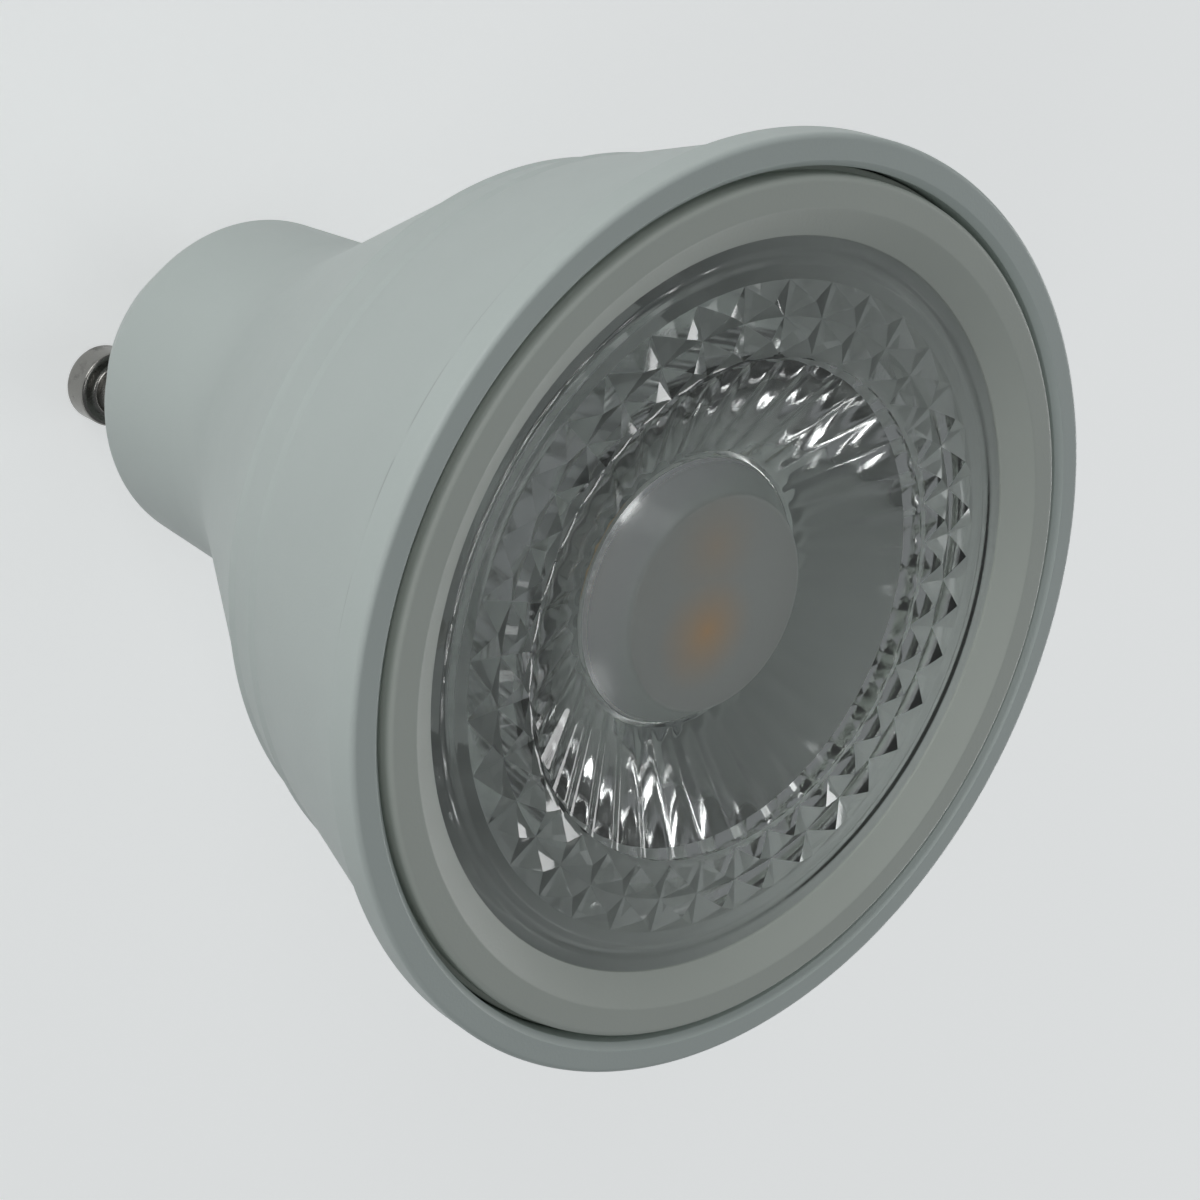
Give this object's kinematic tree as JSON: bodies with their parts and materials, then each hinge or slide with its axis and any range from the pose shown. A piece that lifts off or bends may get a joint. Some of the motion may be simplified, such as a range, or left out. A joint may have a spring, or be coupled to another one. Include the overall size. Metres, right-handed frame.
{
  "type": "gu10 spotlight bulb",
  "caption": "LED spotlight lamp: white flared body, recessed clear lens with a ring of pyramids and a fluted bowl, and a base with headed twist-lock pins.",
  "frame": {"origin": "on the lamp's axis, level with the flat ends of the two contact pins", "axes": "+Z along the axis towards the light, +X from one contact pin to the other"},
  "size_m": [0.05, 0.05, 0.057],
  "materials": {
    "housing_white": "satin moulded plastic",
    "ring_white": "satin moulded plastic",
    "lens_clear": "clear moulded plastic",
    "pin_nickel": "nickel plated, turned",
    "sink_aluminium": "pressed, satin",
    "pad_grey": "soft silicone pad",
    "board_white": "white solder mask on metal core",
    "chip_ceramic": "white ceramic",
    "dam_white": "white silicone",
    "phosphor_yellow": "phosphor in silicone",
    "screw_steel": "zinc plated",
    "insulator_plastic": "natural plastic sheet",
    "board_green": "green solder mask on glass-epoxy",
    "can_black": "black sleeve",
    "film_box": "orange moulded case",
    "resistor_body": "flameproof coating",
    "varistor_blue": "blue epoxy dip",
    "ferrite": "sintered ferrite",
    "copper_enamel": "enamelled copper wire",
    "chip_epoxy": "moulded epoxy",
    "wire_black": "insulated wire",
    "wire_white": "insulated wire"
  },
  "bodies": {
    "root": {"housing": "housing_white", "lens_ring": "ring_white", "lens": "lens_clear", "contact_pin_left": "pin_nickel", "contact_pin_right": "pin_nickel", "heat_sink": "sink_aluminium", "thermal_pad": "pad_grey", "led_board": "board_white", "chip_plate": "chip_ceramic", "phosphor_dam": "dam_white", "phosphor": "phosphor_yellow", "board_screws": "screw_steel", "insulating_disc": "insulator_plastic", "driver_board": "board_green", "mains_capacitor": "can_black", "output_capacitor": "can_black", "film_capacitor": "film_box", "fusible_resistor": "resistor_body", "varistor": "varistor_blue", "inductor_core": "ferrite", "inductor_winding": "copper_enamel", "bridge_rectifier": "chip_epoxy", "driver_chip": "chip_epoxy", "output_diode": "chip_epoxy", "chip_resistors": "chip_epoxy", "input_wire_left": "wire_black", "input_wire_right": "wire_black", "output_wire_left": "wire_white", "output_wire_right": "wire_white"}
  },
  "joints": []
}
